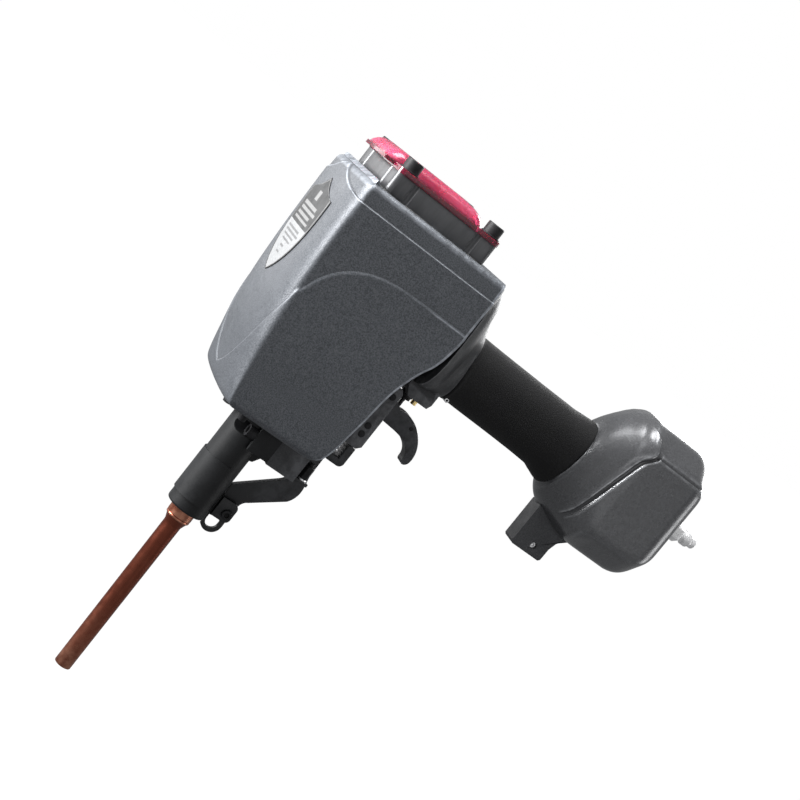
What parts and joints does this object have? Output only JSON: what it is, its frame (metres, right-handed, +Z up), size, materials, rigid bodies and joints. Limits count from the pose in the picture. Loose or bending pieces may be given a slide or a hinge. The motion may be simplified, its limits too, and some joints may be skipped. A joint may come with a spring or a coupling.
{
  "type": "pneumatic nail puller",
  "caption": "Air-driven nail remover: cast body with long nose tube, trigger, safety arm, pistol handle with air reservoir and red exhaust cap.",
  "frame": {"origin": "centre of the nose tube's mouth", "axes": "+Z up the driver axis from the nose to the exhaust cap, +X along the handle towards the air plug"},
  "size_m": [0.3948, 0.114, 0.4293],
  "materials": {
    "casing_coat": "fine textured dark grey powder coat",
    "housing_cast": "textured dark grey paint on cast aluminium",
    "reservoir_cast": "satin textured grey paint on cast aluminium",
    "head_alloy": "dark satin machined",
    "gasket_fibre": "fibre",
    "cap_red": "translucent crimson plastic",
    "black_steel": "black oxide",
    "ground_steel": "ground",
    "seal_rubber": "smooth black",
    "bumper_rubber": "smooth black",
    "piston_alloy": "turned",
    "brass": "turned",
    "white_nylon": "satin",
    "spring_steel": "bright",
    "tube_copper": "copper-brown metallic coating",
    "sleeve_black": "satin black",
    "arm_black": "satin black",
    "bright_zinc": "bright zinc",
    "trigger_black": "satin black",
    "stem_black": "blackened",
    "grip_rubber": "fine pebbled",
    "plug_chrome": "bright nickel",
    "shield_foil": "printed foil"
  },
  "bodies": {
    "frame": {"outer_casing": "casing_coat", "main_housing": "housing_cast", "air_reservoir": "reservoir_cast", "cylinder_head": "head_alloy", "head_gasket": "gasket_fibre", "exhaust_cap": "cap_red", "cap_bolts": "black_steel", "cap_washers": "black_steel", "cylinder_liner": "ground_steel", "liner_seal": "seal_rubber", "piston_bumper": "bumper_rubber", "rod_guide_bush": "brass", "head_valve_spring": "spring_steel", "nose_sleeve": "sleeve_black", "nose_screws": "black_steel", "casing_screws": "black_steel", "nose_plate": "sleeve_black", "safety_spring": "spring_steel", "trigger_bracket": "housing_cast", "bracket_pins": "black_steel", "trigger_pin": "black_steel", "valve_body": "black_steel", "bleed_fitting": "brass", "rubber_grip": "grip_rubber", "grip_pin": "bright_zinc", "plug_bush": "bright_zinc", "air_plug": "plug_chrome", "plug_seal": "seal_rubber", "lug_screw": "bright_zinc", "shield_plate": "shield_foil"},
    "driver": {"piston": "piston_alloy", "piston_ring": "seal_rubber", "driver_rod": "ground_steel", "rod_nut": "black_steel"},
    "head_valve": {"head_valve": "white_nylon"},
    "safety": {"nose_tube": "tube_copper", "safety_arm": "arm_black", "arm_bracket": "arm_black", "eye_loop": "arm_black", "bracket_bolt": "black_steel", "arm_stud": "black_steel", "arm_nut": "black_steel", "arm_washer": "bright_zinc"},
    "trigger": {"trigger": "trigger_black", "lever_pin": "black_steel"},
    "trigger_lever": {"trigger_lever": "ground_steel"},
    "valve_stem": {"valve_stem": "stem_black"}
  },
  "joints": [
    {"name": "driver_stroke", "type": "slide", "parent": "frame", "child": "driver", "axis": [0, 0, -1], "range_m": [0, 0.11]},
    {"name": "head_valve_lift", "type": "slide", "parent": "frame", "child": "head_valve", "axis": [0, 0, 1], "range_m": [0, 0.004], "stiffness_N_per_m": 1500, "springref_m": -0.004, "deforming": ["head_valve_spring"]},
    {"name": "safety_slide", "type": "slide", "parent": "frame", "child": "safety", "axis": [0, 0, 1], "range_m": [0, 0.008], "stiffness_N_per_m": 500, "springref_m": -0.014, "deforming": ["safety_spring"]},
    {"name": "trigger_pivot", "type": "hinge", "parent": "frame", "child": "trigger", "pos_m": [0.0666, 0, 0.2916], "axis": [0, -1, 0], "range_deg": [0, 14], "stiffness_Nm_per_rad": 0.4, "springref_deg": -20.05},
    {"name": "lever_pivot", "type": "hinge", "parent": "trigger", "child": "trigger_lever", "pos_m": [0.0937, 0, 0.2806], "axis": [0, 1, 0], "range_deg": [-4, 0], "stiffness_Nm_per_rad": 0.05, "springref_deg": 11.46},
    {"name": "stem_slide", "type": "slide", "parent": "frame", "child": "valve_stem", "axis": [0, 0, 1], "range_m": [0, 0.0028]}
  ],
  "couplings": [
    {"joint": "stem_slide", "follows": "trigger_pivot", "m_per_rad": 0.0104}
  ]
}
